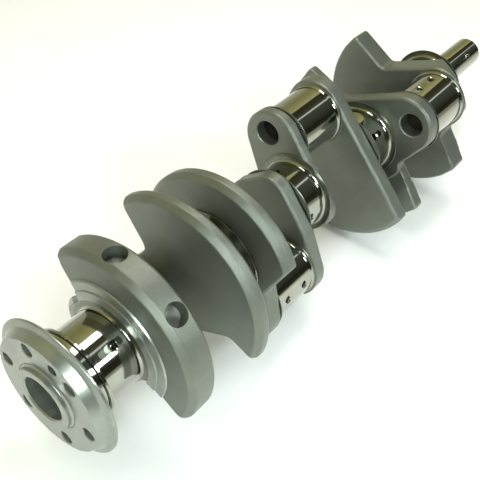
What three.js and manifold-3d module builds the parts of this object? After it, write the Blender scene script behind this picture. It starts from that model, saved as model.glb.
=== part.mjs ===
// A forged V8 crankshaft with five main journals and four crankpins.
//
// The shaft is modelled about its own axis: X runs along the axis from the flywheel end to the
// snout, with X = 0 midway along crankpin 4, and Y points at crankpin 1. The finished group is
// turned about X so that the shaft lies on its two lower throws, then moved so that the origin is
// the centre of the bottom of its bounding box. Sizes are in millimetres and angles in degrees.

import * as THREE from 'three';
import { mergeVertices } from 'three/addons/utils/BufferGeometryUtils.js';
import Module from 'manifold-3d';

const wasm = await Module();
wasm.setup();

// Driving dimensions.
const THROW_SPACING = 111.76;
const THROW = 47.6;
const MAIN_RADIUS = 31.1;
const PIN_RADIUS = 26.6;
const WEB_INNER = 25.2;
const WEB_OUTER = 42.0;
const WEB_CHAMFER = 2.4;
const ROLL = 142;

// Journal details.
const FILLET = 3.2;
const MAIN_SHOULDER = { radius: 36.8, height: 1.5 };
const WIDE_SHOULDER = { radius: 45, height: 1.5 };
const PIN_SHOULDER = { radius: 28, height: 1.2 };
const OIL_HOLE_RADIUS = 2.9;
const MAIN_OIL_HOLE_DEPTH = 30;
const PIN_OIL_HOLE_DEPTH = 9;
const LIGHTENING_HOLE = { radius: 11.3, offset: 10.0 };

// The sections are separate solids that stop this far short of each other, end to end and around a
// spigot.
const JOINT_GAP = 0.05;
const SPIGOT_GAP = 0.3;

// Flywheel end, given as X positions of each step and the radii between them.
const THRUST_COLLAR = { rear: -44.4, step: -43.3, bore: 37.4, radius: 45, stepRadius: 52.5 };
const SLINGER = { radius: 36.9, front: -76.2, rear: -79.0 };
const SEAL_RADIUS = 35.4;
const FLANGE = { front: -90.4, rear: -101.6, rimRadius: 55.3, rimWidth: 2.4, faceRadius: 46.6, bore: 26.8 };
const HUB = { rear: -105.7, radius: 24.6, baseRadius: 26.4, front: -99.6 };
const PILOT_BORE = { radius: 17.8, floor: -79.5, chamfer: 1.2 };
const FLANGE_BOLTS = { circle: 39.0, radius: 5.3, count: 6, first: -12 };
const DOWEL_HOLE = { circle: 38.0, radius: 4.2, angle: -36 };

// Snout, given the same way.
const FRONT_MAIN_END = 425.4;
const GEAR_SEAT = { radius: 17.6, start: 423.4, end: 462.0 };
const DAMPER_SEAT = { radius: 15.85, end: 520.7, chamfer: 2.0 };
const KEYWAY = { width: 4.8, depth: 2.6, angle: -8 };
const GEAR_KEY = { start: 431.0, end: 456.0 };
const DAMPER_KEY = { start: 470.0, end: 497.0 };
const DAMPER_BOLT = { radius: 5.4, depth: 40.0 };

// Counterweight rims, and where a fan steps to a thickness of its own: outside a radius, and on the
// crankpin's side also only below a line across the web.
const RIM_ALLOWANCE = 0.5;
const RIM_CHAMFER = { rear: 4.6, front: 2.4 };
const FAN_STEP = { inner: 46, outer: 48, edge: 24 };

const JOURNAL_SIDES = 32;
const FLANGE_SIDES = 48;
const RIM_SIDES = 60;
const HOLE_SIDES = 12;
const ARC_STEP = 9;
const CORNER_STEPS = 3;

const radians = THREE.MathUtils.degToRad;

// Positions of the throws along X and around the axis, from the snout to the flange.
const throwX = [null, 3 * THROW_SPACING, 2 * THROW_SPACING, THROW_SPACING, 0];
const throwAngle = [null, 0, -90, 90, 180];

const forgedSteel = { color: 0x6f736a, roughness: 0.45, metalness: 0.9 };
const groundSteel = { color: 0xb9b9b2, roughness: 0.12, metalness: 1.0 };
const machinedSteel = { color: 0x8b908a, roughness: 0.35, metalness: 0.95 };

// Turns a geometry whose own Z axis is the extrusion axis so that Z becomes the crank's X.
const zAxisToX = new THREE.Matrix4().set(0, 0, 1, 0, 1, 0, 0, 0, 0, 1, 0, 0, 0, 0, 0, 1);

// Turns a lathe geometry so that its Y axis becomes the crank's X.
const yAxisToX = new THREE.Matrix4().set(0, 1, 0, 0, 0, 0, 1, 0, 1, 0, 0, 0, 0, 0, 0, 1);

function toSolid(geometry) {
  const bare = geometry.clone();
  bare.deleteAttribute('normal');
  bare.deleteAttribute('uv');
  const merged = mergeVertices(bare, 1e-4);
  const index = merged.index.array;
  const triangles = [];
  for (let i = 0; i < index.length; i += 3) {
    const [a, b, c] = [index[i], index[i + 1], index[i + 2]];
    if (a !== b && b !== c && c !== a) {
      triangles.push(a, b, c);
    }
  }
  const mesh = new wasm.Mesh({
    numProp: 3,
    vertProperties: Float32Array.from(merged.attributes.position.array),
    triVerts: Uint32Array.from(triangles),
  });
  return new wasm.Manifold(mesh);
}

function toGeometry(solid) {
  const mesh = solid.getMesh();
  const geometry = new THREE.BufferGeometry();
  geometry.setAttribute('position', new THREE.BufferAttribute(mesh.vertProperties, 3));
  geometry.setIndex(new THREE.BufferAttribute(mesh.triVerts, 1));
  geometry.computeVertexNormals();
  return geometry;
}

// A solid of revolution about the crank axis. The profile is [x, radius] pairs in order of x.
function turned(profile, sides = JOURNAL_SIDES) {
  const first = profile[0][0];
  const last = profile[profile.length - 1][0];
  const points = [[first, 0], ...profile, [last, 0]].map(([x, radius]) => new THREE.Vector2(radius, x));
  const geometry = new THREE.LatheGeometry(points, sides);
  return toSolid(geometry.applyMatrix4(yAxisToX));
}

// A straight round hole along X, centred at a radius and angle about the crank axis.
function axialHole(radius, centreRadius, angle, start, end, sides = HOLE_SIDES) {
  const geometry = new THREE.CylinderGeometry(radius, radius, end - start, sides);
  geometry.applyMatrix4(yAxisToX);
  geometry.translate(
    (start + end) / 2,
    centreRadius * Math.cos(radians(angle)),
    centreRadius * Math.sin(radians(angle)),
  );
  return toSolid(geometry);
}

// A drilled hole that enters along a radius of a journal. The journal's own axis is at (y, z), and
// the hole runs from depth below the surface to just outside it.
function radialHole({ x, y = 0, z = 0, angle, surface, depth, radius, coneDepth = 0 }) {
  const clearance = 3;
  const bottom = surface - depth;
  const profile = [
    new THREE.Vector2(0, bottom - coneDepth),
    new THREE.Vector2(radius, bottom),
    new THREE.Vector2(radius, surface + clearance),
    new THREE.Vector2(0, surface + clearance),
  ];
  const geometry = new THREE.LatheGeometry(profile, HOLE_SIDES);
  geometry.rotateX(radians(angle));
  geometry.translate(x, y, z);
  return toSolid(geometry);
}

// Points along an arc, both ends included, turning anticlockwise from one angle to the other.
function arc([v, w], radius, from, to) {
  const steps = Math.max(2, Math.ceil((to - from) / ARC_STEP));
  const points = [];
  for (let i = 0; i <= steps; i += 1) {
    const angle = radians(from + ((to - from) * i) / steps);
    points.push({ v: v + radius * Math.cos(angle), w: w + radius * Math.sin(angle) });
  }
  return points;
}

// Replaces each point that has a round value with a tangent arc of that radius.
function roundCorners(points) {
  const outline = [];
  points.forEach((point, i) => {
    if (!point.round) {
      outline.push(new THREE.Vector2(point.v, point.w));
      return;
    }
    const before = points[(i + points.length - 1) % points.length];
    const after = points[(i + 1) % points.length];
    const corner = new THREE.Vector2(point.v, point.w);
    const back = new THREE.Vector2(before.v, before.w).sub(corner).normalize();
    const ahead = new THREE.Vector2(after.v, after.w).sub(corner).normalize();
    const half = Math.acos(THREE.MathUtils.clamp(back.dot(ahead), -1, 1)) / 2;
    const reach = point.round / Math.tan(half);
    const centre = back.clone().add(ahead).normalize().multiplyScalar(point.round / Math.sin(half));
    centre.add(corner);
    const start = corner.clone().addScaledVector(back, reach).sub(centre);
    const end = corner.clone().addScaledVector(ahead, reach).sub(centre);
    const turn = Math.atan2(start.cross(end), start.dot(end));
    for (let step = 0; step <= CORNER_STEPS; step += 1) {
      const spoke = start.clone().rotateAround(new THREE.Vector2(), (turn * step) / CORNER_STEPS);
      outline.push(spoke.add(centre));
    }
  });
  return outline;
}

// Outlines of the webs, each in the plane of its own throw: v points from the crank axis to the
// crankpin, and w is 90 degrees anticlockwise from v, seen with the snout towards the viewer.

// The rounded end of a web around its crankpin.
const frontNose = { centre: [THROW - 1.6, -2], radius: 30, from: -85, to: 52 };
const endThrowNose = { centre: [THROW + 1.4, -1], radius: 28.5, from: -78, to: 58 };
const midThrowNose = { centre: [THROW + 3.4, 0], radius: 28, from: -62, to: 75 };
const plainNose = { centre: [THROW + 2.8, 0], radius: 27.4, from: -72, to: 75 };

// A web with a counterweight. The fan is an arc about the crank axis from one tip to the other, and
// each flank runs from its tip in to the corner where it meets the web. The arc stands just outside
// the turned rim that later trims it. The front fan's arc has its centre off the axis.
function counterweightOutline({ nose, fan, leftCorner, rightCorner }) {
  const radius = fan.radius + RIM_ALLOWANCE;
  const [v, w] = fan.centre ?? [0, 0];
  const tip = (angle, round) => ({
    v: v + radius * Math.cos(radians(angle)),
    w: w + radius * Math.sin(radians(angle)),
    round,
  });
  const rim = arc([v, w], radius, fan.from, fan.to).slice(1, -1);
  return roundCorners([
    ...arc(nose.centre, nose.radius, nose.from, nose.to),
    leftCorner,
    tip(fan.from, fan.tipRounds[0]),
    ...rim,
    tip(fan.to, fan.tipRounds[1]),
    rightCorner,
  ]);
}

// A web with no counterweight: a rounded bar from the crankpin past the main journal.
function plainOutline() {
  return roundCorners([
    ...arc(plainNose.centre, plainNose.radius, plainNose.from, plainNose.to),
    { v: -36.2, w: 30, round: 18 },
    { v: -36.2, w: -31.5, round: 19 },
    { v: 24, w: -34, round: 30 },
  ]);
}

// The inner and outer faces of each web and each fan are distances from the middle of the crankpin,
// given where they differ from the usual web. A fan has a radius and the angles of its tips. A cone
// gives an end web's nose its radius about the crank axis at its inner and its outer face, beyond a
// line at v.
const webs = {
  1: {
    name: 'counterweight_1',
    outer: 49,
    nose: frontNose,
    cone: { beyond: 40, inner: 77.5, outer: 62 },
    fan: { centre: [7.5, -2], radius: 83.6, from: 70.2, to: 255.3, tipRounds: [4, 4] },
    leftCorner: { v: 35.5, w: 38, round: 4 },
    rightCorner: { v: 1.8, w: -43.5, round: 7 },
  },
  2: {
    name: 'counterweight_2',
    inner: 28,
    nose: endThrowNose,
    fan: { centre: [1, 2], radius: 86, from: 73, to: 250.5, tipRounds: [5, 4], outer: 38.5 },
    leftCorner: { v: 23, w: 36.5, round: 8 },
    rightCorner: { v: -6.5, w: -41.5, round: 7 },
  },
  3: {
    name: 'counterweight_3',
    inner: 22.5,
    outer: 38.5,
    nose: midThrowNose,
    fan: { radius: 82.8, from: 151.7, to: 284, tipRounds: [4, 4] },
    leftCorner: { v: -30, w: 36, round: 60 },
    rightCorner: { v: 35.5, w: -37, round: 7 },
  },
  4: { name: 'web_4', inner: 31 },
  5: { name: 'web_5', outer: 39.2 },
  6: {
    name: 'counterweight_6',
    nose: midThrowNose,
    fan: { radius: 75.2, from: 150.5, to: 284, tipRounds: [4, 4], inner: 28.5, edge: 36 },
    leftCorner: { v: -30, w: 35, round: 60 },
    rightCorner: { v: 35.5, w: -37, round: 7 },
  },
  7: {
    name: 'counterweight_7',
    nose: endThrowNose,
    fan: { radius: 80.2, from: 83.5, to: 236, tipRounds: [4, 5], outer: 38 },
    leftCorner: { v: 9.2, w: 36.8, round: 8 },
    rightCorner: { v: -32, w: -44.5, round: 9 },
  },
  8: {
    name: 'counterweight_8',
    nose: frontNose,
    cone: { beyond: 12, inner: 73, outer: 37 },
    fan: { radius: 76.2, from: 84.5, to: 246, tipRounds: [5, 9], inner: 18 },
    leftCorner: { v: 8.4, w: 35.6, round: 9 },
    rightCorner: { v: -17.5, w: -33.2, round: 6 },
  },
};

// Blind holes drilled into the rim of counterweight 8 to balance the shaft.
const BALANCE_HOLES = { x: -29.5, angles: [-55, -11], radius: 8.6, depth: 11, coneDepth: 4 };

function webThrow(number) {
  return Math.ceil(number / 2);
}

// Puts two distances from the middle of a web's crankpin in order as X positions. Odd webs are on
// the snout side of their crankpin and even webs on the flange side.
function spanFromPin(number, near, far) {
  const side = number % 2 === 1 ? 1 : -1;
  const centre = throwX[webThrow(number)];
  return [centre + side * near, centre + side * far].sort((a, b) => a - b);
}

function webSpan(number) {
  const { inner = WEB_INNER, outer = WEB_OUTER } = webs[number];
  return spanFromPin(number, inner, outer);
}

// Where the web and its fan have their inner and outer faces.
function webFaces(number) {
  const { inner = WEB_INNER, outer = WEB_OUTER, fan } = webs[number];
  return { inner, outer, fanInner: fan.inner ?? inner, fanOuter: fan.outer ?? outer };
}

// A plate with an outline in the plane of a throw, chamfered all round and optionally inset.
function plate(outline, angle, [start, end], chamfer, inset = 0) {
  const geometry = new THREE.ExtrudeGeometry(new THREE.Shape(outline), {
    depth: end - start - 2 * chamfer,
    bevelEnabled: true,
    bevelThickness: chamfer,
    bevelSize: chamfer,
    bevelOffset: -chamfer - inset,
    bevelSegments: 1,
    steps: 1,
  });
  geometry.translate(0, 0, start + chamfer);
  geometry.applyMatrix4(zAxisToX);
  geometry.rotateX(radians(angle));
  return toSolid(geometry);
}

// A slab across the whole shaft on the crankpin's side of a line at v, for a throw at an angle.
function throwSide(angle, v, [start, end]) {
  const slab = new THREE.BoxGeometry(end - start, 200, 400);
  slab.translate((start + end) / 2, v + 100, 0);
  slab.rotateX(radians(angle));
  return toSolid(slab);
}

// The space around the shaft outside a profile of [x, radius] pairs.
function outside(profile) {
  const start = profile[0][0];
  const end = profile[profile.length - 1][0];
  return turned([[start, 150], [end, 150]], 12).subtract(turned(profile, RIM_SIDES));
}

// The part of the space outside a profile that lies on the fan's side of a web.
function outsideFan(number, profile) {
  const span = [profile[0][0], profile[profile.length - 1][0]];
  const edge = webs[number].fan.edge ?? FAN_STEP.edge;
  const pinSide = throwSide(throwAngle[webThrow(number)], edge, span);
  return outside(profile).subtract(pinSide);
}

// Steps a fan to its own faces, where they are not the faces of its web.
function shapeFan(number, solid, outline) {
  const { inner, outer, fanInner, fanOuter } = webFaces(number);
  let shaped = solid;
  if (fanOuter < outer) {
    const [start, end] = spanFromPin(number, fanOuter, outer + 1);
    shaped = shaped.subtract(outsideFan(number, [[start, FAN_STEP.outer], [end, FAN_STEP.outer]]));
  }
  if (fanInner > inner) {
    const [start, end] = spanFromPin(number, inner - 1, fanInner);
    shaped = shaped.subtract(outsideFan(number, [[start, FAN_STEP.inner], [end, FAN_STEP.inner]]));
  }
  if (fanInner < inner) {
    const [start, end] = spanFromPin(number, fanInner, inner + 2 * WEB_CHAMFER);
    const pad = plate(outline, throwAngle[webThrow(number)], [start, end], 1.2);
    const fanSide = outsideFan(number, [[start, FAN_STEP.inner], [end, FAN_STEP.inner]]);
    shaped = shaped.add(pad.intersect(fanSide));
  }
  return shaped;
}

// Turns a fan's rim about the crank axis. Its chamfer is deeper on the flange side.
function turnRim(number, solid) {
  const { fanInner, fanOuter } = webFaces(number);
  const { radius } = webs[number].fan;
  const { rear, front } = RIM_CHAMFER;
  const [start, end] = spanFromPin(number, fanInner, fanOuter);
  return solid.subtract(outsideFan(number, [
    [start - 1, radius - rear - 1],
    [start + rear, radius],
    [end - front, radius],
    [end + 1, radius - front - 1],
  ]));
}

// Turns the nose of an end web to a cone about the crank axis.
function turnNose(number, solid) {
  const { beyond, inner, outer } = webs[number].cone;
  const [start, end] = webSpan(number);
  const profile = number % 2 === 1 ? [[start, inner], [end, outer]] : [[start, outer], [end, inner]];
  const nose = throwSide(throwAngle[webThrow(number)], beyond, [start - 1, end + 1]);
  return solid.subtract(outside(profile).intersect(nose));
}

function makeWeb(number) {
  const web = webs[number];
  const angle = throwAngle[webThrow(number)];
  const span = webSpan(number);
  const outline = web.fan ? counterweightOutline(web) : plainOutline();
  let solid = plate(outline, angle, span, WEB_CHAMFER);
  if (web.fan) {
    solid = shapeFan(number, solid, outline);
  }
  if (web.fan && !web.fan.centre) {
    solid = turnRim(number, solid);
  }
  if (web.cone) {
    solid = turnNose(number, solid);
  }
  solid = solid.subtract(lighteningHole(webThrow(number), ...span));
  if (number === 8) {
    for (const holeAngle of BALANCE_HOLES.angles) {
      solid = solid.subtract(radialHole({ ...BALANCE_HOLES, angle: holeAngle, surface: web.fan.radius }));
    }
  }
  return solid;
}

// The hole drilled along each crankpin and through the webs on both sides of it. It is set outward
// of the pin's centre, where it saves the most balance weight.
function lighteningHole(number, start, end) {
  const centreRadius = THROW + LIGHTENING_HOLE.offset;
  return axialHole(LIGHTENING_HOLE.radius, centreRadius, throwAngle[number], start - 1, end + 1, 20);
}

// A ground journal with a fillet and a raised shoulder at each end that has one.
function journalProfile(start, end, radius, rearShoulder, frontShoulder = rearShoulder) {
  const side = (face, inward, shoulder) => {
    if (!shoulder) {
      return [[face, radius]];
    }
    const foot = face + inward * shoulder.height;
    const middle = FILLET * (1 - Math.SQRT1_2);
    return [
      [face, shoulder.radius],
      [foot, shoulder.radius],
      [foot, radius + FILLET],
      [foot + inward * middle, radius + middle],
      [foot + inward * FILLET, radius],
    ];
  };
  return [...side(start, 1, rearShoulder), ...side(end, -1, frontShoulder).reverse()];
}

const mainOilHoles = {
  1: [{ offset: -6, angle: -7 }],
  2: [{ offset: -4.5, angle: -7 }, { offset: -4.5, angle: 172 }],
  3: [{ offset: -4.5, angle: 34 }, { offset: -4.5, angle: 214 }],
  4: [{ offset: 0, angle: -28 }, { offset: 0, angle: 152 }],
  5: [{ offset: 2.5, angle: -17 }, { offset: 2.5, angle: 163 }],
};

// The main journals' own spans along X, each between the faces of its neighbours.
function mainSpan(number) {
  const start = number === 5 ? SLINGER.front : webSpan(2 * number - 1)[1];
  const end = number === 1 ? FRONT_MAIN_END : webSpan(2 * number - 2)[0];
  return [start + JOINT_GAP, end - (number === 1 ? 0 : JOINT_GAP)];
}

function makeMainJournal(number) {
  const [start, end] = mainSpan(number);
  const rearShoulder = number === 5 ? null : MAIN_SHOULDER;
  const frontShoulder = number === 4 ? WIDE_SHOULDER : MAIN_SHOULDER;
  let solid = turned(journalProfile(start, end, MAIN_RADIUS, rearShoulder, frontShoulder));
  if (number === 1) {
    solid = solid.subtract(turned([
      [GEAR_SEAT.start, GEAR_SEAT.radius + SPIGOT_GAP],
      [FRONT_MAIN_END + 1, GEAR_SEAT.radius + SPIGOT_GAP],
    ]));
  }
  if (number >= 4) {
    const shoulder = end - MAIN_SHOULDER.height - 0.5;
    const reach = MAIN_SHOULDER.radius + 1;
    const journal = turned([[start - 1, reach], [shoulder + 0.45, reach]]);
    solid = solid.intersect(journal.add(insideWeb(2 * number - 2, [shoulder, end + 1])));
  }
  for (const { offset, angle } of mainOilHoles[number]) {
    solid = solid.subtract(radialHole({
      x: (start + end) / 2 + offset,
      angle,
      surface: MAIN_RADIUS,
      depth: MAIN_OIL_HOLE_DEPTH,
      radius: OIL_HOLE_RADIUS,
    }));
  }
  return solid;
}

// Each crankpin carries two connecting rods, with one oil hole for each.
const PIN_OIL_OFFSET = 11.5;
const PIN_OIL_LEAD = -62;

function makeCrankpin(number) {
  const start = webSpan(2 * number)[1] + JOINT_GAP;
  const end = webSpan(2 * number - 1)[0] - JOINT_GAP;
  const angle = throwAngle[number];
  const y = THROW * Math.cos(radians(angle));
  const z = THROW * Math.sin(radians(angle));
  let solid = turned(journalProfile(start, end, PIN_RADIUS, PIN_SHOULDER)).translate([0, y, z]);
  solid = solid.subtract(lighteningHole(number, start, end));
  for (const side of [-1, 1]) {
    solid = solid.subtract(radialHole({
      x: throwX[number] + side * PIN_OIL_OFFSET,
      y,
      z,
      angle: angle + PIN_OIL_LEAD,
      surface: PIN_RADIUS,
      depth: PIN_OIL_HOLE_DEPTH,
      radius: OIL_HOLE_RADIUS,
    }));
  }
  return solid;
}

// A plate over the flat of a web's outline. What stands on the web's rear face is kept inside it.
function insideWeb(number, span) {
  return plate(counterweightOutline(webs[number]), throwAngle[webThrow(number)], span, 0.4, WEB_CHAMFER);
}

// The raised thrust face behind the rear counterweight, as a stepped ring around main journal 5. It
// ends at the web's edge where the web is narrower than the ring, and stops short of the web's nose.
function makeThrustCollar() {
  const { rear, step, bore, radius, stepRadius } = THRUST_COLLAR;
  const end = throwX[4] - WEB_OUTER - JOINT_GAP;
  const ring = turned([
    [rear, radius - 0.6],
    [rear + 0.6, radius],
    [step, radius],
    [step, stepRadius - 0.8],
    [end, stepRadius],
  ], FLANGE_SIDES);
  const hole = turned([[rear - 1, bore], [end + 1, bore]]);
  const nose = throwSide(throwAngle[4], webs[8].cone.beyond, [rear - 1, end + 1]);
  return ring.subtract(hole).intersect(insideWeb(8, [rear - 1, end + 1])).subtract(nose);
}

function makeOilSlinger() {
  const edge = 0.6;
  return turned([
    [SLINGER.rear, SLINGER.radius - edge],
    [SLINGER.rear + edge, SLINGER.radius],
    [SLINGER.front - edge, SLINGER.radius],
    [SLINGER.front, SLINGER.radius - edge],
  ]);
}

function pilotBore() {
  const mouth = PILOT_BORE.radius + PILOT_BORE.chamfer;
  return turned([
    [HUB.rear - 1, mouth + 1],
    [HUB.rear + PILOT_BORE.chamfer, PILOT_BORE.radius],
    [PILOT_BORE.floor - 2.5, PILOT_BORE.radius],
    [PILOT_BORE.floor, PILOT_BORE.radius / 2],
  ]);
}

function makeSealJournal() {
  const start = FLANGE.front + JOINT_GAP;
  const end = SLINGER.rear - JOINT_GAP;
  return turned([[start, SEAL_RADIUS], [end, SEAL_RADIUS]]).subtract(pilotBore());
}

function makeFlange() {
  const { front, rear, rimRadius, rimWidth, faceRadius } = FLANGE;
  const rimBack = front - rimWidth;
  const coneStart = { x: rimBack - 1.4, radius: rimRadius - 4.8 };
  let solid = turned([
    [rear, faceRadius],
    [coneStart.x, coneStart.radius],
    [rimBack, rimRadius],
    [front - 1, rimRadius],
    [front, rimRadius - 1],
  ], FLANGE_SIDES).subtract(pilotBore());
  solid = solid.subtract(turned([[rear - 1, FLANGE.bore], [HUB.front + JOINT_GAP, FLANGE.bore]]));
  for (let i = 0; i < FLANGE_BOLTS.count; i += 1) {
    const angle = FLANGE_BOLTS.first + (i * 360) / FLANGE_BOLTS.count;
    const hole = axialHole(FLANGE_BOLTS.radius, FLANGE_BOLTS.circle, angle, rear - 1, front + 1);
    solid = solid.subtract(hole);
  }
  const dowel = axialHole(DOWEL_HOLE.radius, DOWEL_HOLE.circle, DOWEL_HOLE.angle, rear - 1, rear + 9);
  return solid.subtract(dowel);
}

function makePilotHub() {
  const edge = 0.6;
  return turned([
    [HUB.rear, HUB.radius - edge],
    [HUB.rear + edge, HUB.radius],
    [FLANGE.rear, HUB.baseRadius],
    [HUB.front, HUB.baseRadius],
  ]).subtract(pilotBore());
}

// A keyway cut along the snout: a slot with a rounded end at each end of its floor.
function keyway(surface, { start, end }) {
  const floor = surface - KEYWAY.depth;
  const half = KEYWAY.width / 2;
  const slot = new THREE.Shape();
  slot.absarc(start + half, 0, half, Math.PI / 2, (3 * Math.PI) / 2);
  slot.absarc(end - half, 0, half, -Math.PI / 2, Math.PI / 2);
  const geometry = new THREE.ExtrudeGeometry(slot, {
    depth: KEYWAY.depth + 3,
    bevelEnabled: false,
    curveSegments: 3,
  });
  geometry.translate(0, 0, floor);
  geometry.rotateX(radians(KEYWAY.angle - 90));
  return toSolid(geometry);
}

function makeGearSeat() {
  const start = GEAR_SEAT.start + JOINT_GAP;
  const end = GEAR_SEAT.end;
  const edge = 0.8;
  const seat = turned([
    [start, GEAR_SEAT.radius],
    [end - edge, GEAR_SEAT.radius],
    [end, GEAR_SEAT.radius - edge],
  ]);
  return seat.subtract(keyway(GEAR_SEAT.radius, GEAR_KEY));
}

function makeDamperSeat() {
  const start = GEAR_SEAT.end + JOINT_GAP;
  const { radius, end, chamfer } = DAMPER_SEAT;
  const seat = turned([[start, radius], [end - chamfer, radius], [end, radius - chamfer]]);
  const bolt = axialHole(DAMPER_BOLT.radius, 0, 0, end - DAMPER_BOLT.depth, end + 1, 16);
  return seat.subtract(keyway(radius, DAMPER_KEY)).subtract(bolt);
}

const crankshaft = new THREE.Group();

function addPart(name, solid, look) {
  const mesh = new THREE.Mesh(toGeometry(solid), new THREE.MeshStandardMaterial(look));
  mesh.name = name;
  crankshaft.add(mesh);
}

addPart('pilot_hub', makePilotHub(), machinedSteel);
addPart('rear_flange', makeFlange(), machinedSteel);
addPart('rear_seal_journal', makeSealJournal(), groundSteel);
addPart('oil_slinger', makeOilSlinger(), groundSteel);
addPart('thrust_collar', makeThrustCollar(), machinedSteel);
for (let number = 5; number >= 1; number -= 1) {
  addPart(`main_journal_${number}`, makeMainJournal(number), groundSteel);
}
for (let number = 4; number >= 1; number -= 1) {
  addPart(`crankpin_${number}`, makeCrankpin(number), groundSteel);
}
for (let number = 8; number >= 1; number -= 1) {
  addPart(webs[number].name, makeWeb(number), forgedSteel);
}
addPart('timing_gear_seat', makeGearSeat(), groundSteel);
addPart('damper_seat', makeDamperSeat(), groundSteel);

crankshaft.rotation.x = radians(ROLL);

// Moves the turned shaft so that the centre of the bottom of its bounding box is the origin.
crankshaft.updateMatrixWorld(true);
const box = new THREE.Box3().setFromObject(crankshaft, true);
const middle = box.getCenter(new THREE.Vector3());
crankshaft.position.set(-middle.x, -middle.y, -box.min.z);

export default crankshaft;
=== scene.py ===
import math

import bmesh
import bpy
from mathutils import Matrix, Vector


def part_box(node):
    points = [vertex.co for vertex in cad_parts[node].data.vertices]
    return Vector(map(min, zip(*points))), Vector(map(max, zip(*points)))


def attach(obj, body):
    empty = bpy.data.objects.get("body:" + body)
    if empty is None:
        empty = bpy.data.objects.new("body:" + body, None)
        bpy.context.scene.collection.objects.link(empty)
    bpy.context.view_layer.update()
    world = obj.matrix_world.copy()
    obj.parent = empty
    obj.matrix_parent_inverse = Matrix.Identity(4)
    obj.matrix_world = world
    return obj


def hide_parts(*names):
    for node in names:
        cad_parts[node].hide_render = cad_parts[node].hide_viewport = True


# A forged V8 crankshaft. Every piece is modelled in millimetres about the shaft's own axis: X runs
# from the flywheel end to the snout with X = 0 midway along crankpin 4, and Y points at crankpin 1.
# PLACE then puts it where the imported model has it.

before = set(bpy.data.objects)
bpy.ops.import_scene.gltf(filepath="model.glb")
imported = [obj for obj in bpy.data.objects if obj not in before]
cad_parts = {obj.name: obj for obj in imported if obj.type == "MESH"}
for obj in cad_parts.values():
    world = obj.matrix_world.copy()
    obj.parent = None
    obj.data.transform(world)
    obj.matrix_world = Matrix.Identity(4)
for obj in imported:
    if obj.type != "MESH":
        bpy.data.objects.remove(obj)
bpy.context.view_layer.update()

ROLL = math.radians(142)  # how far the shaft lies turned about its axis

THROW_SPACING = 111.76
THROW_X = {1: 3 * THROW_SPACING, 2: 2 * THROW_SPACING, 3: THROW_SPACING, 4: 0}
THROW_ANGLE = {1: 0, 2: -90, 3: 90, 4: 180}
THROW = 47.6  # from the crank axis to a crankpin's own axis
MAIN_RADIUS = 31.1
PIN_RADIUS = 26.6
LIGHTENING_HOLE = dict(radius=11.3, offset=10.0)  # a bore through a crankpin, off its axis
JOINT_GAP = 0.05  # between neighbouring sections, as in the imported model


def box_centre(node):
    low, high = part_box(node)
    return (low + high) / 2


AXIS = box_centre("damper_seat")
PLACE = (
    Matrix.Translation((box_centre("crankpin_4").x, AXIS.y, AXIS.z))
    @ Matrix.Rotation(ROLL, 4, "X")
    @ Matrix.Scale(0.001, 4)
)


# Meshes ---------------------------------------------------------------------------------------

SIDES = 160  # of a turned solid
TIP = 0.01  # the radius at a drilled cone's tip, as a turned line can't touch the axis
OVERRUN = 2  # how far a drill passes the faces that it breaks


def new_object(name, bm):
    bmesh.ops.recalc_face_normals(bm, faces=bm.faces)
    mesh = bpy.data.meshes.new(name)
    bm.to_mesh(mesh)
    bm.free()
    obj = bpy.data.objects.new(name, mesh)
    bpy.context.scene.collection.objects.link(obj)
    return obj


def modified(obj, kind, **settings):
    """Applies one modifier to a mesh."""
    modifier = obj.modifiers.new(kind.lower(), kind)
    for key, value in settings.items():
        setattr(modifier, key, value)
    graph = bpy.context.evaluated_depsgraph_get()
    mesh = bpy.data.meshes.new_from_object(obj.evaluated_get(graph))
    obj.modifiers.clear()
    before = obj.data
    obj.data = mesh
    bpy.data.meshes.remove(before)
    return obj


def combined(obj, other, operation):
    modified(obj, "BOOLEAN", object=other, operation=operation, solver="MANIFOLD")
    bpy.data.objects.remove(other)
    return obj


def cut(obj, other):
    return combined(obj, other, "DIFFERENCE")


def rounded(points, steps=5):
    """Replaces each (x, y, radius) corner of a line with a tangent arc. (x, y) points stay."""
    line = []
    count = len(points)
    for i, point in enumerate(points):
        if len(point) == 2 or point[2] == 0:
            line.append(Vector(point[:2]))
            continue
        corner = Vector(point[:2])
        back = (Vector(points[i - 1][:2]) - corner).normalized()
        ahead = (Vector(points[(i + 1) % count][:2]) - corner).normalized()
        half = back.angle(ahead) / 2
        reach = point[2] / math.tan(half)
        middle = corner + (back + ahead).normalized() * point[2] / math.sin(half)
        start = corner + back * reach - middle
        turn = start.angle_signed(corner + ahead * reach - middle)
        for step in range(steps + 1):
            spoke = start.copy()
            spoke.rotate(Matrix.Rotation(-turn * step / steps, 2))
            line.append(middle + spoke)
    return line


def swept(bm, line, sides, closed=False):
    """Turns a line of (x, radius) points about the crank axis, and returns its rings."""
    angles = [2 * math.pi * i / sides for i in range(sides)]
    rings = [
        [bm.verts.new((x, radius * math.cos(a), radius * math.sin(a))) for a in angles]
        for x, radius in line
    ]
    for near, far in zip(rings, [*rings[1:], rings[0]] if closed else rings[1:]):
        for i in range(sides):
            j = (i + 1) % sides
            bm.faces.new((near[i], near[j], far[j], far[i]))
    return rings


def turned(name, profile, sides=SIDES):
    """A solid of revolution about the crank axis, from (x, radius) or (x, radius, round) points."""
    ends = [(profile[0][0], 0), *profile, (profile[-1][0], 0)]
    bm = bmesh.new()
    rings = swept(bm, rounded(ends)[1:-1], sides)
    bm.faces.new(rings[0])
    bm.faces.new(rings[-1])
    return new_object(name, bm)


def moved(obj, matrix):
    obj.data.transform(matrix)
    return obj


def about_x(degrees):
    return Matrix.Rotation(math.radians(degrees), 4, "X")


def throw_place(number):
    """Takes (x, v, w) of one throw, with v towards its crankpin, to the crank's own axes."""
    return about_x(THROW_ANGLE[number])


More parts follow.
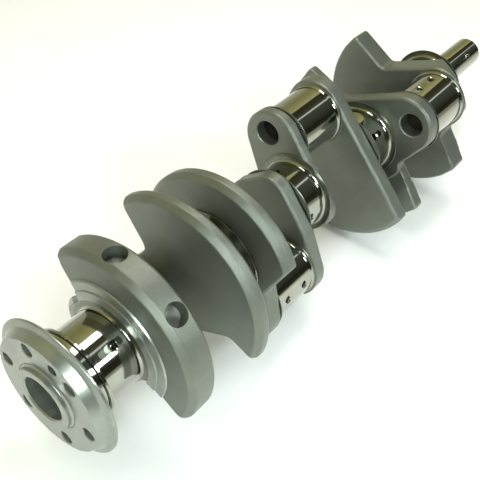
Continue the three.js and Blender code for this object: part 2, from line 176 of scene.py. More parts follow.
def axial_hole(radius, v, angle, start, end, mouth=0.0, sides=64):
    """A hole along X. With a mouth, its ends open out in small cones where they break a face."""
    if mouth == 0:
        profile = [(start - OVERRUN, radius), (end + OVERRUN, radius)]
    else:
        wide = radius + mouth + OVERRUN
        profile = [(start - OVERRUN, wide), (start + mouth, radius), (end - mouth, radius),
                   (end + OVERRUN, wide)]
    hole = turned("hole", profile, sides)
    return moved(hole, about_x(angle) @ Matrix.Translation((0, v, 0)))


def radial_hole(x, angle, surface, depth, radius, cone, mouth, centre=(0, 0)):
    """A drilled hole with a cone at its bottom and a rounded mouth at the surface."""
    proud, beyond = 0.15, 6
    hole = turned("hole", [
        (surface - depth - cone, TIP),
        (surface - depth, radius),
        (surface - mouth, radius),
        (surface - mouth * 0.35, radius + mouth * 0.22),
        (surface + proud, radius + mouth),
        (surface + beyond, radius + mouth + beyond),
    ], 48)
    upright = about_x(angle) @ Matrix.Rotation(math.pi / 2, 4, "Z")
    return moved(hole, Matrix.Translation((x, centre[0], centre[1])) @ upright)


# Webs -----------------------------------------------------------------------------------------

# The faces of a web, along X from the middle of its crankpin.
WEB_INNER = 25.2
WEB_OUTER = 42.0
EDGE = 1.7  # the chamfer round a web's outline
FLAT_INSET = 2.4  # from a web's outline to its flat
VOXEL = 0.8  # the remeshed grid, which rounds a web's edges as forging does


def arc(centre, radius, start, end, step=3.0):
    count = max(2, math.ceil((end - start) / step))
    angles = [math.radians(start + (end - start) * i / count) for i in range(count + 1)]
    return [(centre[0] + radius * math.cos(a), centre[1] + radius * math.sin(a)) for a in angles]


# A web's nose about its crankpin: the centre, radius, and first and last angle of an arc.
FRONT_NOSE = ((THROW - 1.6, -2), 30, -85, 52)
END_THROW_NOSE = ((THROW + 1.4, -1), 28.5, -78, 58)
MID_THROW_NOSE = ((THROW + 3.4, 0), 28, -62, 75)
PLAIN_NOSE = ((THROW + 2.8, 0), 27.4, -72, 75)
PLAIN_BACK = ((-36.2, 30, 18), (-36.2, -31.5, 19), (24, -34, 30))  # web 4's and web 5's

# Webs 1 to 8 from the snout, in the (v, w) of their own throw.
# inner, outer: the web's faces, where they aren't WEB_INNER and WEB_OUTER.
# left, right: (v, w, round) corners between the nose and the fan.
# fan: its rim's radius and angles, the rounds of its two tips, and its own faces where it is
#     thicker or thinner than the web. With no centre, its rim is turned about the crank axis. Its
#     faces and rim are cut below v = edge only.
# cone: where the nose is turned, from v on, and the radii at its inner and outer face.
# holes: the angles of the drilled balance holes.
WEBS = {
    1: dict(node="counterweight_1", outer=49, nose=FRONT_NOSE, cone=(40, 77.5, 62),
            fan=dict(centre=(7.5, -2), radius=83.6, start=70.2, end=255.3, rounds=(4, 4)),
            left=(35.5, 38, 4), right=(1.8, -43.5, 7)),
    2: dict(node="counterweight_2", inner=28, nose=END_THROW_NOSE,
            fan=dict(centre=(1, 2), radius=86, start=73, end=250.5, rounds=(5, 4), outer=38.5),
            left=(23, 36.5, 8), right=(-6.5, -41.5, 7)),
    3: dict(node="counterweight_3", inner=22.5, outer=38.5, nose=MID_THROW_NOSE,
            fan=dict(radius=82.8, start=151.7, end=284, rounds=(4, 4)),
            left=(-30, 36, 60), right=(35.5, -37, 7)),
    4: dict(node="web_4", inner=31),
    5: dict(node="web_5", outer=39.2),
    6: dict(node="counterweight_6", nose=MID_THROW_NOSE,
            fan=dict(radius=75.2, start=150.5, end=284, rounds=(4, 4), inner=28.5, edge=36),
            left=(-30, 35, 60), right=(35.5, -37, 7)),
    7: dict(node="counterweight_7", nose=END_THROW_NOSE,
            fan=dict(radius=80.2, start=83.5, end=236, rounds=(4, 5), outer=38),
            left=(9.2, 36.8, 8), right=(-32, -44.5, 9)),
    8: dict(node="counterweight_8", nose=FRONT_NOSE, cone=(12, 73, 37),
            fan=dict(radius=76.2, start=84.5, end=246, rounds=(5, 9), inner=18),
            left=(8.4, 35.6, 9), right=(-17.5, -33.2, 6), holes=(-55, -11)),
}
BALANCE_HOLE = dict(x=-29.5, depth=11, radius=8.6, cone=4.2, mouth=0.9)
RIM_CHAMFER = (4.6, 2.4)  # on the flywheel side and the snout side
RIM_STOCK = 0.3  # what the outline leaves for the rim to be turned from
RIM_INSIDE = 0.06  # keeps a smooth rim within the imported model's faceted one
TIP_POINTS = 4  # of a fan's arc, given up to each rounded tip
FAN_STEP_INNER = 46  # the radii of the steps between a web and a fan of another thickness
FAN_STEP_OUTER = 48
FAN_EDGE = 24
RING_SIDES = 180


def web_throw(number):
    return (number + 1) // 2


def from_pin(number, near, far):
    """Where two distances from the middle of a web's crankpin lie along X."""
    side = 1 if number % 2 == 1 else -1
    centre = THROW_X[web_throw(number)]
    return sorted((centre + side * near, centre + side * far))


def web_faces(number):
    return WEBS[number].get("inner", WEB_INNER), WEBS[number].get("outer", WEB_OUTER)


def web_span(number):
    return from_pin(number, *web_faces(number))


def outline(number):
    """The outline of a web as (v, w) points, with v from the crank axis towards the crankpin."""
    web = WEBS[number]
    if "fan" not in web:
        return rounded([*arc(*PLAIN_NOSE), *PLAIN_BACK], steps=8)
    fan = web["fan"]
    rim = arc(fan.get("centre", (0, 0)), fan["radius"] + RIM_STOCK, fan["start"], fan["end"])
    first_round, last_round = fan["rounds"]
    return rounded([
        *arc(*web["nose"]), web["left"], (*rim[0], first_round), *rim[TIP_POINTS:-TIP_POINTS],
        (*rim[-1], last_round), web["right"],
    ], steps=8)


def inset(line, distance):
    """Moves each point of a closed anticlockwise line inwards along the line's own normal."""
    result = []
    count = len(line)
    for i in range(count):
        before = (line[i] - line[i - 1]).normalized()
        after = (line[(i + 1) % count] - line[i]).normalized()
        mean = (before + after).normalized()
        inward = Vector((-mean.y, mean.x))
        result.append(line[i] + inward * distance / max(0.5, mean.dot(after)))
    return result


def plate(name, line, start, end, chamfer):
    """A flat piece across X with an outline of (v, w) points and chamfered edges."""
    bm = bmesh.new()
    loops = []
    for x, distance in ((start, chamfer), (start + chamfer, 0), (end - chamfer, 0), (end, chamfer)):
        points = inset(line, distance) if distance else line
        loops.append([bm.verts.new((x, p.x, p.y)) for p in points])
    for near, far in zip(loops, loops[1:]):
        for i in range(len(near)):
            j = (i + 1) % len(near)
            bm.faces.new((near[i], near[j], far[j], far[i]))
    caps = [bm.faces.new(loops[0]), bm.faces.new(loops[-1])]
    bmesh.ops.triangulate(bm, faces=caps)
    return new_object(name, bm)


def throw_side(v, start, end):
    """A slab on the crankpin's side of a line at v."""
    reach = 200
    bm = bmesh.new()
    bmesh.ops.create_cube(bm, size=1)
    bmesh.ops.scale(bm, vec=(end - start, reach, 2 * reach), verts=bm.verts)
    bmesh.ops.translate(bm, vec=((start + end) / 2, v + reach / 2, 0), verts=bm.verts)
    return new_object("slab", bm)


def outside(profile):
    """The space around the shaft outside a profile."""
    reach = 150
    bm = bmesh.new()
    line = [(profile[0][0], reach), *profile, (profile[-1][0], reach)]
    swept(bm, line, RING_SIDES, closed=True)
    return new_object("surround", bm)


def outside_fan(number, profile):
    """The space outside a profile, on the fan's side of a web only."""
    edge = WEBS[number]["fan"].get("edge", FAN_EDGE)
    return cut(outside(profile), throw_side(edge, profile[0][0] - 1, profile[-1][0] + 1))


def shape_fan(number, web, line):
    """Brings a fan to its own thickness and turns its rim."""
    fan = WEBS[number]["fan"]
    inner, outer = web_faces(number)
    fan_inner, fan_outer = fan.get("inner", inner), fan.get("outer", outer)
    if fan_outer < outer:
        start, end = from_pin(number, fan_outer, outer + 1)
        cut(web, outside_fan(number, [(start, FAN_STEP_OUTER), (end, FAN_STEP_OUTER)]))
    if fan_inner > inner:
        start, end = from_pin(number, inner - 1, fan_inner)
        cut(web, outside_fan(number, [(start, FAN_STEP_INNER), (end, FAN_STEP_INNER)]))
    if fan_inner < inner:
        start, end = from_pin(number, fan_inner, inner + 2 * FLAT_INSET)
        pad = plate("pad", line, start, end, chamfer=1.2)
        side = outside_fan(number, [(start - 0.5, FAN_STEP_INNER), (end + 0.5, FAN_STEP_INNER)])
        combined(web, combined(pad, side, "INTERSECT"), "UNION")
    if "centre" not in fan:
        rear, front = RIM_CHAMFER
        radius = fan["radius"] - RIM_INSIDE
        start, end = from_pin(number, fan_inner, fan_outer)
        cut(web, outside_fan(number, [
            (start - 1, radius - rear - 1), (start + rear, radius),
            (end - front, radius), (end + 1, radius - front - 1),
        ]))


def turn_nose(number, web):
    """Turns the corner of a nose to a cone about the crank axis."""
    beyond, inner, outer = WEBS[number]["cone"]
    start, end = web_span(number)
    rear, front = (inner, outer) if number % 2 == 1 else (outer, inner)
    cone = outside([(start - 0.01, rear), (end + 0.01, front)])
    cut(web, combined(cone, throw_side(beyond, start - 1, end + 1), "INTERSECT"))


def lightening_hole(start, end, mouth=0.0):
    hole = LIGHTENING_HOLE
    return axial_hole(hole["radius"], THROW + hole["offset"], 0, start, end, mouth)


def make_web(number):
    facts = WEBS[number]
    start, end = web_span(number)
    line = outline(number)
    web = plate(facts["node"] + "_forged", line, start, end, EDGE)
    if "fan" in facts:
        shape_fan(number, web, line)
    if "cone" in facts:
        turn_nose(number, web)
    modified(web, "REMESH", mode="VOXEL", voxel_size=VOXEL, adaptivity=0.0)
    modified(web, "SMOOTH", factor=0.5, iterations=2)
    cut(web, lightening_hole(start, end, mouth=0.8))
    moved(web, throw_place(web_throw(number)))
    for angle in facts.get("holes", ()):
        cut(web, radial_hole(angle=angle, surface=facts["fan"]["radius"], **BALANCE_HOLE))
    return web


# Journals -------------------------------------------------------------------------------------

# The low shoulder at a journal's end: its radius, its height along X, and how far the flare that
# leads to it rises above the journal.
MAIN_SHOULDER = (37.6, 0.9, 5.4)
WIDE_SHOULDER = (45.0, 1.5, 5.4)
PIN_SHOULDER = (29.9, 0.9, 2.9)
FILLET = 3.2  # the length of the flare along X
FILLET_STEPS = 15
SQUARE_END = 0.5  # the chamfer of a journal's end with no shoulder

# The drilled holes of each main journal: the distance from its middle and the angle.
MAIN_OIL_HOLES = {
    1: ((-6, -7),),
    2: ((-4.5, -7), (-4.5, 172)),
    3: ((-4.5, 34), (-4.5, 214)),
    4: ((0, -28), (0, 152)),
    5: ((2.5, -17), (2.5, 163)),
}
PIN_OIL_HOLES = ((-11.5, -62), (11.5, -62))
OIL_HOLE = dict(depth=9.0, radius=2.7, cone=1.5, mouth=2.0)

SLINGER = dict(rear=-79.0, front=-76.2, radius=36.9)
FRONT_MAIN_END = 425.4
GEAR_SEAT = dict(start=423.4, end=462.0, radius=17.6)
RECESS_CLEARANCE = 0.3  # round the gear seat's root, inside main journal 1

# The front ends of main journals 4 and 5, which stay inside the outline of the web before them.
FITTED_MAINS = (4, 5)
FITTED_LENGTH = 1.9
FITTED_RADIUS = 38.2
SATIN_BAND = (MAIN_RADIUS + 1.5, 38.5)  # the radii between which a main journal is satin


def journal_end(radius, shoulder):
    """The distance inwards and radius of each point at one end of a ground journal.

    The end flares from the journal up to a low shoulder. With no shoulder it is cut square.
    """
    if shoulder is None:
        return [(0, radius - SQUARE_END), (SQUARE_END, radius)]
    reach, height, flare = shoulder
    edge = 0.3
    points = [(0, reach - edge), (edge, reach), (height - edge, reach), (height, reach - edge),
              (height, radius + flare)]
    for step in range(1, FILLET_STEPS + 1):
        a = math.radians(90 * step / FILLET_STEPS)
        points.append((height + FILLET * (1 - math.cos(a)), radius + flare * (1 - math.sin(a))))
    return points


def journal_profile(start, end, radius, rear, front):
    near = [(start + x, r) for x, r in journal_end(radius, rear)]
    far = [(end - x, r) for x, r in reversed(journal_end(radius, front))]
    return [*near, *far]


def mark_satin(obj, test):
    """Puts the faces whose centres pass a test in the second of two empty material slots."""
    for _ in range(2):
        obj.data.materials.append(None)
    for polygon in obj.data.polygons:
        polygon.material_index = 1 if test(polygon.center) else 0
    return obj


def inside_web(number, start, end):
    """A plate over the flat of a web's outline, which keeps what stands on the web inside it."""
    line = inset(outline(number), FLAT_INSET)
    return moved(plate("plate", line, start, end, chamfer=0.2), throw_place(web_throw(number)))


def make_main(number):
    """A main journal, from the web or slinger behind it to the web before it."""
    web_behind, web_ahead = 2 * number - 1, 2 * number - 2
    start = (SLINGER["front"] if number == 5 else web_span(web_behind)[1]) + JOINT_GAP
    end = FRONT_MAIN_END if number == 1 else web_span(web_ahead)[0] - JOINT_GAP
    rear = None if number == 5 else MAIN_SHOULDER
    front = WIDE_SHOULDER if number == 4 else MAIN_SHOULDER
    profile = journal_profile(start, end, MAIN_RADIUS, rear, front)
    main = turned(f"main_journal_{number}_ground", profile)
    if number in FITTED_MAINS:
        fitted = end - FITTED_LENGTH
        keep = turned("keep", [(start - 1, FITTED_RADIUS), (fitted + 0.2, FITTED_RADIUS)])
        combined(keep, inside_web(web_ahead, fitted, end + 1), "UNION")
        combined(main, keep, "INTERSECT")
    if number == 1:
        radius = GEAR_SEAT["radius"] + RECESS_CLEARANCE
        cut(main, turned("recess", [(GEAR_SEAT["start"], radius), (FRONT_MAIN_END + 1, radius)]))
    for offset, angle in MAIN_OIL_HOLES[number]:
        cut(main, radial_hole((start + end) / 2 + offset, angle, MAIN_RADIUS, **OIL_HOLE))
    low, high = SATIN_BAND
    return mark_satin(main, lambda c: low < math.hypot(c.y, c.z) < high)


def make_pin(number):
    start = web_span(2 * number)[1] + JOINT_GAP
    end = web_span(2 * number - 1)[0] - JOINT_GAP
    profile = journal_profile(start, end, PIN_RADIUS, PIN_SHOULDER, PIN_SHOULDER)
    pin = turned(f"crankpin_{number}_ground", profile)
    moved(pin, Matrix.Translation((0, THROW, 0)))
    cut(pin, lightening_hole(start, end))
    for offset, angle in PIN_OIL_HOLES:
        x = THROW_X[number] + offset
        cut(pin, radial_hole(x, angle, PIN_RADIUS, centre=(THROW, 0), **OIL_HOLE))

    def in_bore_or_on_flare(c):
        from_bore = math.hypot(c.y - THROW - LIGHTENING_HOLE["offset"], c.z)
        from_pin_axis = math.hypot(c.y - THROW, c.z)
        return from_bore < LIGHTENING_HOLE["radius"] + 0.1 or from_pin_axis > PIN_RADIUS + 1.2

    mark_satin(pin, in_bore_or_on_flare)
    return moved(pin, throw_place(number))


# Flywheel end ---------------------------------------------------------------------------------

FLANGE = dict(rear=-101.6, front=-90.4, face=46.6, waist=50.5, rim=55.3, seat=26.8)
BOLT_COUNT = 6
FLANGE_BOLT_HOLE = dict(angle=-12, circle=39.0, radius=5.3, mouth=0.7)
DOWEL_HOLE = dict(angle=-36, circle=38.0, radius=4.2, depth=9, mouth=0.5)
HUB = dict(rear=-105.7, front=-99.6, root=26.4, top=24.6)
BORE = dict(radius=17.8, step=-92.0, step_depth=0.5, cone=2.5, floor=-79.5)
SEAL_RADIUS = 35.4
COLLAR = dict(rear=-44.4, step=-43.3, face=45.0, rim=52.5, hole=37.4, stop=12)


def pilot_bore():
    radius, step, floor_x = BORE["radius"], BORE["step"], BORE["floor"]
    inner = radius - BORE["step_depth"]
    return turned("bore", [
        (HUB["rear"] - 1, radius + 2.2), (HUB["rear"] + 1.2, radius), (step, radius),
        (step + 0.6, inner), (floor_x - BORE["cone"], inner), (floor_x, radius / 2),
    ])


def make_flange():
    """The flywheel flange: a thin rim behind a thick face, with bolt holes and a dowel hole."""
    rear, front, rim = FLANGE["rear"], FLANGE["front"], FLANGE["rim"]
    flange = turned("rear_flange_turned", [
        (rear, FLANGE["face"], 0.5), (front - 3.8, FLANGE["waist"], 2.2), (front - 2.4, rim, 0.7),
        (front - 0.9, rim, 0.4), (front, rim - 0.9, 0.3),
    ])
    cut(flange, pilot_bore())
    seat_floor = HUB["front"] + JOINT_GAP
    cut(flange, turned("seat", [(rear - 1, FLANGE["seat"]), (seat_floor, FLANGE["seat"])]))
    bolt, dowel = FLANGE_BOLT_HOLE, DOWEL_HOLE
    for i in range(BOLT_COUNT):
        angle = bolt["angle"] + 360 / BOLT_COUNT * i
        cut(flange, axial_hole(bolt["radius"], bolt["circle"], angle, rear, front, bolt["mouth"]))
    end = rear + dowel["depth"] - OVERRUN
    place = (dowel["circle"], dowel["angle"])
    return cut(flange, axial_hole(dowel["radius"], *place, rear, end, dowel["mouth"], 40))


def make_hub():
    rear, top, root = HUB["rear"], HUB["top"], HUB["root"]
    hub = turned("pilot_hub_turned", [
        (rear, top - 0.6, 0.2), (rear + 0.6, top, 0.3), (FLANGE["rear"] - 1.0, top + 0.2, 1.0),
        (FLANGE["rear"], root), (HUB["front"], root),
    ])
    return cut(hub, pilot_bore())


def make_seal_journal():
    start, end = FLANGE["front"] + JOINT_GAP, SLINGER["rear"] - JOINT_GAP
    seal = turned("rear_seal_journal_ground", [
        (start, SEAL_RADIUS + 1.0), (start + 0.3, SEAL_RADIUS + 0.4), (start + 1.0, SEAL_RADIUS),
        (end - 0.3, SEAL_RADIUS), (end, SEAL_RADIUS - 0.3),
    ])
    return cut(seal, pilot_bore())


def make_slinger():
    rear, front, radius = SLINGER["rear"], SLINGER["front"], SLINGER["radius"]
    return turned("oil_slinger_turned", [
        (rear, radius - 0.6), (rear + 0.5, radius), (front - 0.6, radius), (front, radius - 0.6),
    ])


def make_collar():
    """The stepped face behind counterweight 8, which ends short of that web's nose."""
    rear, step, face, rim = COLLAR["rear"], COLLAR["step"], COLLAR["face"], COLLAR["rim"]
    start, end = rear - 1.6, -WEB_OUTER - JOINT_GAP
    collar = turned("thrust_collar_turned", [
        (rear, face - 0.6, 0.2), (rear + 0.5, face, 0.2), (step - 0.05, face, 0.2),
        (step, rim - 0.8, 0.2), (end, rim),
    ])
    cut(collar, turned("hole", [(start, COLLAR["hole"]), (end + 1, COLLAR["hole"])]))
    combined(collar, inside_web(8, start, end + 1), "INTERSECT")
    return cut(collar, moved(throw_side(COLLAR["stop"], start, end + 1), throw_place(4)))


# Snout ----------------------------------------------------------------------------------------

DAMPER_SEAT = dict(end=520.7, radius=15.85, chamfer=2.0)
DAMPER_BOLT_HOLE = dict(tip=478.0, cone=2.7, radius=5.4, mouth=1.1)
KEYWAY = dict(width=4.8, depth=2.6, angle=-8)
GEAR_KEYWAY = (431.0, 456.0)
DAMPER_KEYWAY = (470.0, 497.0)


def keyway(surface, start, end):
    """A slot for a key, cut by an end mill, along the snout."""
    half = KEYWAY["width"] / 2
    turns = [math.radians(a) for a in range(0, 181, 12)]
    line = [(start + half - half * math.sin(a), half * math.cos(a)) for a in turns]
    line += [(end - half + half * math.sin(a), -half * math.cos(a)) for a in turns]
    bm = bmesh.new()
    bottom, top = (
        [bm.verts.new((x, level, w)) for x, w in line]
        for level in (surface - KEYWAY["depth"], surface + 4)
    )
    for i in range(len(line)):
        j = (i + 1) % len(line)
        bm.faces.new((bottom[i], bottom[j], top[j], top[i]))
    bm.faces.new(bottom)
    bm.faces.new(top)
    return moved(new_object("slot", bm), about_x(KEYWAY["angle"]))


def make_gear_seat():
    start, end, radius = GEAR_SEAT["start"] + JOINT_GAP, GEAR_SEAT["end"], GEAR_SEAT["radius"]
    seat = turned("timing_gear_seat_ground", [
        (start, radius), (end - 1.0, radius, 0.2), (end, radius - 0.9, 0.1),
    ])
    return cut(seat, keyway(radius, *GEAR_KEYWAY))


def make_damper_seat():
    end, radius, chamfer = DAMPER_SEAT["end"], DAMPER_SEAT["radius"], DAMPER_SEAT["chamfer"]
    seat = turned("damper_seat_ground", [
        (GEAR_SEAT["end"] + JOINT_GAP, radius), (end - chamfer, radius, 0.6),
        (end, radius - chamfer, 0.3),
    ])
    cut(seat, keyway(radius, *DAMPER_KEYWAY))
    hole = DAMPER_BOLT_HOLE
    mouth = end - hole["mouth"]
    return cut(seat, turned("bolt", [
        (hole["tip"], TIP), (hole["tip"] + hole["cone"], hole["radius"]), (mouth, hole["radius"]),
        (mouth + 3.1, hole["radius"] + 3.1),
    ], 64))


# Materials ------------------------------------------------------------------------------------


class Nodes:
    """Builds a node tree. A value that is a socket is linked, and any other is set."""

    def __init__(self, tree):
        self.tree = tree
        tree.nodes.clear()

    def add(self, kind, inputs=None, **settings):
        node = self.tree.nodes.new(kind)
        for key, value in settings.items():
            setattr(node, key, value)
        for key, value in (inputs or {}).items():
            if isinstance(value, bpy.types.NodeSocket):
                self.tree.links.new(value, node.inputs[key])
            else:
                node.inputs[key].default_value = value
        return node

    def math(self, operation, a, b=0.0):
        return self.add("ShaderNodeMath", {0: a, 1: b}, operation=operation).outputs[0]

    def noise(self, where, scale, detail=4.0, roughness=0.6, distortion=0.0):
        inputs = {"Vector": where, "Scale": scale, "Detail": detail, "Roughness": roughness,
                  "Distortion": distortion}
        return self.add("ShaderNodeTexNoise", inputs).outputs["Fac"]

    def ramp(self, factor, stops):
        node = self.add("ShaderNodeValToRGB", {"Fac": factor})
        elements = node.color_ramp.elements
        while len(elements) < len(stops):
            elements.new(0.5)
        for element, (position, colour) in zip(elements, stops):
            rgb = colour if hasattr(colour, "__len__") else (colour, colour, colour)
            element.position = position
            element.color = (*rgb, 1)
        return node.outputs["Color"]

    def mix(self, factor, a, b, blend="MIX"):
        node = self.add("ShaderNodeMix", data_type="RGBA", blend_type=blend)
        sockets = {"Factor": node.inputs[0], "A": node.inputs[6], "B": node.inputs[7]}
        for key, value in (("Factor", factor), ("A", a), ("B", b)):
            if isinstance(value, bpy.types.NodeSocket):
                self.tree.links.new(value, sockets[key])
            else:
                sockets[key].default_value = value if key == "Factor" else (*value, 1)
        return node.outputs[2]

    def span(self, value, low, high):
        node = self.add("ShaderNodeMapRange", {"Value": value, "To Min": low, "To Max": high})
        return node.outputs["Result"]

    def bump(self, height, distance, strength=1.0, normal=None):
        inputs = {"Height": height, "Distance": distance, "Strength": strength}
        if normal is not None:
            inputs["Normal"] = normal
        return self.add("ShaderNodeBump", inputs).outputs["Normal"]

    def place(self):
        return self.add("ShaderNodeTexCoord").outputs["Object"]

    def painted_edge_highlight(self, low, high):
        """1 on a sharp convex edge, and 0 on a flat face: the mask of a painted highlight along
        edges.
        """
        edge = self.add("ShaderNodeNewGeometry").outputs["Pointiness"]
        return self.ramp(edge, [(low, 0.0), (high, 1.0)])

    def turning_marks(self, place, scale, detail):
        """Noise that changes along the crank axis and away from it, but not round it."""
        location = (0, -AXIS.y, -AXIS.z)
        local = self.add("ShaderNodeMapping", {"Vector": place, "Location": location}).outputs[0]
        along, y, z = self.add("ShaderNodeSeparateXYZ", {"Vector": local}).outputs
        squares = self.math("ADD", self.math("POWER", y, 2.0), self.math("POWER", z, 2.0))
        radius = self.math("SQRT", squares)
        where = self.add("ShaderNodeCombineXYZ", {0: radius, 1: along}).outputs[0]
        return self.noise(where, scale, detail, 0.6)

    def surface(self, inputs):
        shader = self.add("ShaderNodeBsdfPrincipled", inputs)
        self.add("ShaderNodeOutputMaterial", {"Surface": shader.outputs[0]})


def new_material(name):
    material = bpy.data.materials.new(name)
    material.use_nodes = True
    return material, Nodes(material.node_tree)


def forged_steel():
    """Shot-peened forging: a dense field of tiny dimples and faint blotches, with a painted
    highlight along its sharp edges.
    """
    material, n = new_material("forged_steel")
    place = n.place()
    blotch = n.noise(place, 28, 5.0, 0.62, 0.4)
    mottle = n.noise(place, 240, 3.0, 0.7)
    peen = n.add("ShaderNodeTexVoronoi", {"Vector": place, "Scale": 1500.0}).outputs["Distance"]
    grain = n.noise(place, 2600, 2.0, 0.7)
    tone = n.ramp(blotch, [(0.28, (0.138, 0.150, 0.122)), (0.5, (0.166, 0.180, 0.150)),
                           (0.72, (0.198, 0.212, 0.180))])
    tone = n.mix(n.span(mottle, 0.0, 0.35), tone, (0.225, 0.240, 0.208))
    # Painted highlight: sharp convex edges are painted lighter, and made a little smoother.
    painted_edge_highlight = n.painted_edge_highlight(0.515, 0.56)
    tone = n.mix(n.math("MULTIPLY", painted_edge_highlight, 0.55), tone, (0.36, 0.385, 0.355))
    rough = n.math("ADD", n.span(blotch, 0.32, 0.46), n.span(mottle, -0.05, 0.05))
    rough = n.math("SUBTRACT", rough, n.math("MULTIPLY", painted_edge_highlight, 0.06))
    normal = n.bump(peen, 0.0003, 0.5)
    normal = n.bump(grain, 0.00008, 0.35, normal)
    normal = n.bump(blotch, 0.0012, 0.25, normal)
    n.surface({"Base Color": tone, "Metallic": 0.78, "Roughness": rough, "Normal": normal})
    return material


def machined_steel():
    """Turned faces: fine concentric tool marks about the crank axis, under a light satin blast."""
    material, n = new_material("machined_steel")
    place = n.place()
    marks = n.turning_marks(place, 1900, 2.0)
    blotch = n.noise(place, 45, 5.0, 0.6, 0.3)
    grain = n.noise(place, 1800, 2.0, 0.7)
    tone = n.ramp(blotch, [(0.3, (0.225, 0.245, 0.215)), (0.55, (0.270, 0.290, 0.255)),
                           (0.75, (0.310, 0.328, 0.290))])
    tone = n.mix(n.span(marks, 0.0, 0.30), tone, (0.40, 0.42, 0.38))
    # Painted highlight: sharp convex edges are painted lighter.
    painted_edge_highlight = n.painted_edge_highlight(0.52, 0.60)
    tone = n.mix(n.math("MULTIPLY", painted_edge_highlight, 0.6), tone, (0.42, 0.43, 0.39))
    rough = n.math("ADD", n.span(blotch, 0.25, 0.36), n.span(marks, -0.05, 0.05))
    normal = n.bump(marks, 0.00006, 0.5)
    normal = n.bump(grain, 0.00005, 0.3, normal)
    n.surface({"Base Color": tone, "Metallic": 0.80, "Roughness": rough, "Normal": normal})
    return material


def ground_steel():
    """Ground and polished journals: nearly a mirror, with hair-fine marks round the shaft."""
    material, n = new_material("ground_steel")
    place = n.place()
    stretched = n.add("ShaderNodeMapping", {"Vector": place, "Scale": (1.0, 0.04, 0.04)}).outputs[0]
    hairs = n.noise(stretched, 2400, 2.0, 0.65)
    haze = n.noise(place, 35, 4.0, 0.6, 0.5)
    tone = n.ramp(haze, [(0.3, (0.315, 0.322, 0.280)), (0.7, (0.365, 0.370, 0.325))])
    rough = n.math("ADD", n.span(haze, 0.045, 0.10), n.span(hairs, -0.02, 0.03))
    normal = n.bump(hairs, 0.00001, 0.25)
    normal = n.bump(haze, 0.0004, 0.06, normal)
    n.surface({"Base Color": tone, "Metallic": 1.0, "Roughness": rough, "Normal": normal})
    return material


def satin_steel():
    """The flares beside the journals and the drilled bores: dull, with faint drag marks."""
    material, n = new_material("satin_steel")
    place = n.place()
    drag = n.turning_marks(place, 1500, 3.0)
    haze = n.noise(place, 60, 4.0, 0.6, 0.4)
    tone = n.ramp(haze, [(0.3, (0.150, 0.160, 0.125)), (0.7, (0.205, 0.215, 0.175))])
    rough = n.math("ADD", n.span(haze, 0.24, 0.34), n.span(drag, -0.06, 0.06))
    normal = n.bump(drag, 0.00004, 0.4)
    n.surface({"Base Color": tone, "Metallic": 0.88, "Roughness": rough, "Normal": normal})
    return material


def floor_material():
    material, n = new_material("pale_floor")
    cloud = n.noise(n.place(), 3.0, 3.0)
    tone = n.ramp(cloud, [(0.3, (0.86, 0.865, 0.85)), (0.7, (0.89, 0.89, 0.88))])
    n.surface({"Base Color": tone, "Roughness": 0.9})
    return material


# Assembly -------------------------------------------------------------------------------------


SHARP_ANGLE = math.radians(32)


def finish_piece(obj, node, slot, *materials):
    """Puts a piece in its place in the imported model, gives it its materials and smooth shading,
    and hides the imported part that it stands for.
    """
    moved(obj, PLACE)
    marks = [polygon.material_index for polygon in obj.data.polygons]
    obj.data.materials.clear()
    for material in materials:
        obj.data.materials.append(material)
    obj.data.polygons.foreach_set("material_index", marks)
    obj.data.shade_smooth()
    obj.data.set_sharp_from_angle(angle=SHARP_ANGLE)
    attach(obj, "root")
    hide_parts(node)


forged, machined, ground, satin = forged_steel(), machined_steel(), ground_steel(), satin_steel()

for number, facts in WEBS.items():
    finish_piece(make_web(number), facts["node"], "forged_steel", forged)
for number in range(1, 6):
    finish_piece(make_main(number), f"main_journal_{number}", "ground_steel", ground, satin)
for number in range(1, 5):
    finish_piece(make_pin(number), f"crankpin_{number}", "ground_steel", ground, satin)
finish_piece(make_hub(), "pilot_hub", "machined_steel", machined)
finish_piece(make_flange(), "rear_flange", "machined_steel", machined)
finish_piece(make_collar(), "thrust_collar", "machined_steel", machined)
finish_piece(make_seal_journal(), "rear_seal_journal", "ground_steel", ground)
finish_piece(make_slinger(), "oil_slinger", "ground_steel", ground)
finish_piece(make_gear_seat(), "timing_gear_seat", "ground_steel", ground)
finish_piece(make_damper_seat(), "damper_seat", "ground_steel", ground)

# Stage ----------------------------------------------------------------------------------------

# From here on, lengths are in metres.
floor_mesh = bmesh.new()
bmesh.ops.create_grid(floor_mesh, x_segments=24, y_segments=24, size=4.0)
floor = new_object("floor", floor_mesh)
floor.location.z = -0.0005  # just below the rim that rests on it
floor.data.materials.append(floor_material())

# The room, as bands along the shaft. Their angles go from behind the shaft over it to the front.
OLIVE_WALL = [
    (0, (0.74, 0.73, 0.62)), (20, (0.52, 0.50, 0.30)), (40, (0.44, 0.43, 0.18)),
    (60, (0.62, 0.59, 0.26)), (75, (0.85, 0.80, 0.42)),
]
DARK_CEILING = [(78, (0.06, 0.055, 0.02)), (97, (0.09, 0.085, 0.05)), (108, (0.14, 0.14, 0.10))]
STRIP_LIGHT = [(110, (1.35, 1.42, 1.45)), (113, (1.35, 1.42, 1.45))]
DARK_WALL = [
    (115, (0.13, 0.14, 0.12)), (136, (0.10, 0.11, 0.09)), (150, (0.075, 0.08, 0.06)),
    (166, (0.03, 0.032, 0.015)), (180, (0.06, 0.06, 0.05)),
]
ROOM = [*OLIVE_WALL, *DARK_CEILING, *STRIP_LIGHT, *DARK_WALL]
PEAK = 1.45  # the brightest value, which the ramp's colours are divided by

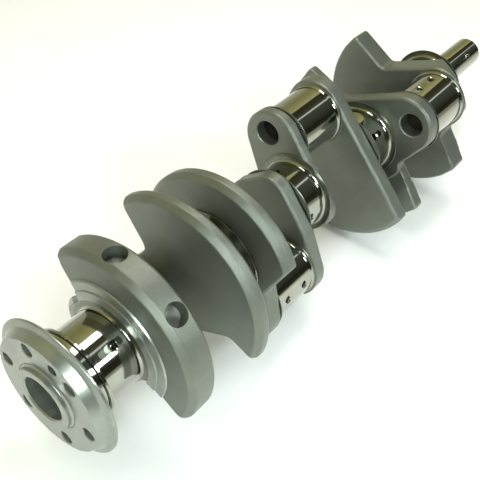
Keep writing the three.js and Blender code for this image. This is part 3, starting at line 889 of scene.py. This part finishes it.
world = bpy.data.worlds.new("studio")
bpy.context.scene.world = world
world.use_nodes = True
n = Nodes(world.node_tree)
direction = n.add("ShaderNodeSeparateXYZ", {0: n.add("ShaderNodeTexCoord").outputs["Generated"]})
turn = n.math("ARCTAN2", direction.outputs[2], direction.outputs[1])
share = n.math("DIVIDE", turn, math.pi)
bands = n.ramp(share, [(angle / 180, tuple(c / PEAK for c in colour)) for angle, colour in ROOM])
background = n.add("ShaderNodeBackground", {"Color": bands, "Strength": PEAK})
n.add("ShaderNodeOutputWorld", {"Surface": background.outputs[0]})


def area_light(name, location, target, size, power, colour=(1, 1, 1), seen=True):
    light = bpy.data.lights.new(name, "AREA")
    light.shape = "RECTANGLE"
    light.size, light.size_y = size
    light.energy = power
    light.color = colour
    obj = bpy.data.objects.new(name, light)
    bpy.context.scene.collection.objects.link(obj)
    obj.location = location
    obj.rotation_euler = (Vector(target) - Vector(location)).to_track_quat("-Z", "Y").to_euler()
    obj.visible_glossy = seen  # whether the steel mirrors it


SHAFT_CENTRE = (0, 0, 0.08)
area_light("softbox", (0.15, 0.10, 0.94), (0.15, 0.05, 0.1), (0.70, 0.26), 3.6)
area_light("overhead", (0.1, 0.2, 1.9), (0, 0, 0), (2.6, 2.2), 24, seen=False)
area_light("camera_side", (-0.66, -0.34, 0.45), SHAFT_CENTRE, (0.24, 0.18), 3.3, (0.88, 1.0, 1.0))
area_light("near_side", (0.12, -0.72, 0.62), SHAFT_CENTRE, (0.40, 0.20), 4.4, (0.90, 1.0, 1.0))

# The camera, in millimetres about the crank's own axes: where it is, and its right, up and back.
CAMERA_PLACE = Vector((-265.9, 468.0, -173.9))
RIGHT = Vector((0.62139, 0.65174, 0.43486))
UP = Vector((0.51228, 0.08199, -0.85490))
BACK = Vector((-0.59283, 0.75400, -0.28292))
LENS = 56.85
SENSOR_WIDTH = 36.0
camera = bpy.data.objects.new("camera", bpy.data.cameras.new("camera"))
bpy.context.scene.collection.objects.link(camera)
turned_axes = Matrix.Rotation(ROLL, 3, "X") @ Matrix((RIGHT, UP, BACK)).transposed()
camera.matrix_world = Matrix.Translation(PLACE @ CAMERA_PLACE) @ turned_axes.to_4x4()
camera.data.lens = LENS
camera.data.sensor_width = SENSOR_WIDTH
camera.data.clip_start = 0.01
bpy.context.scene.camera = camera

bpy.context.scene.view_settings.view_transform = "Standard"
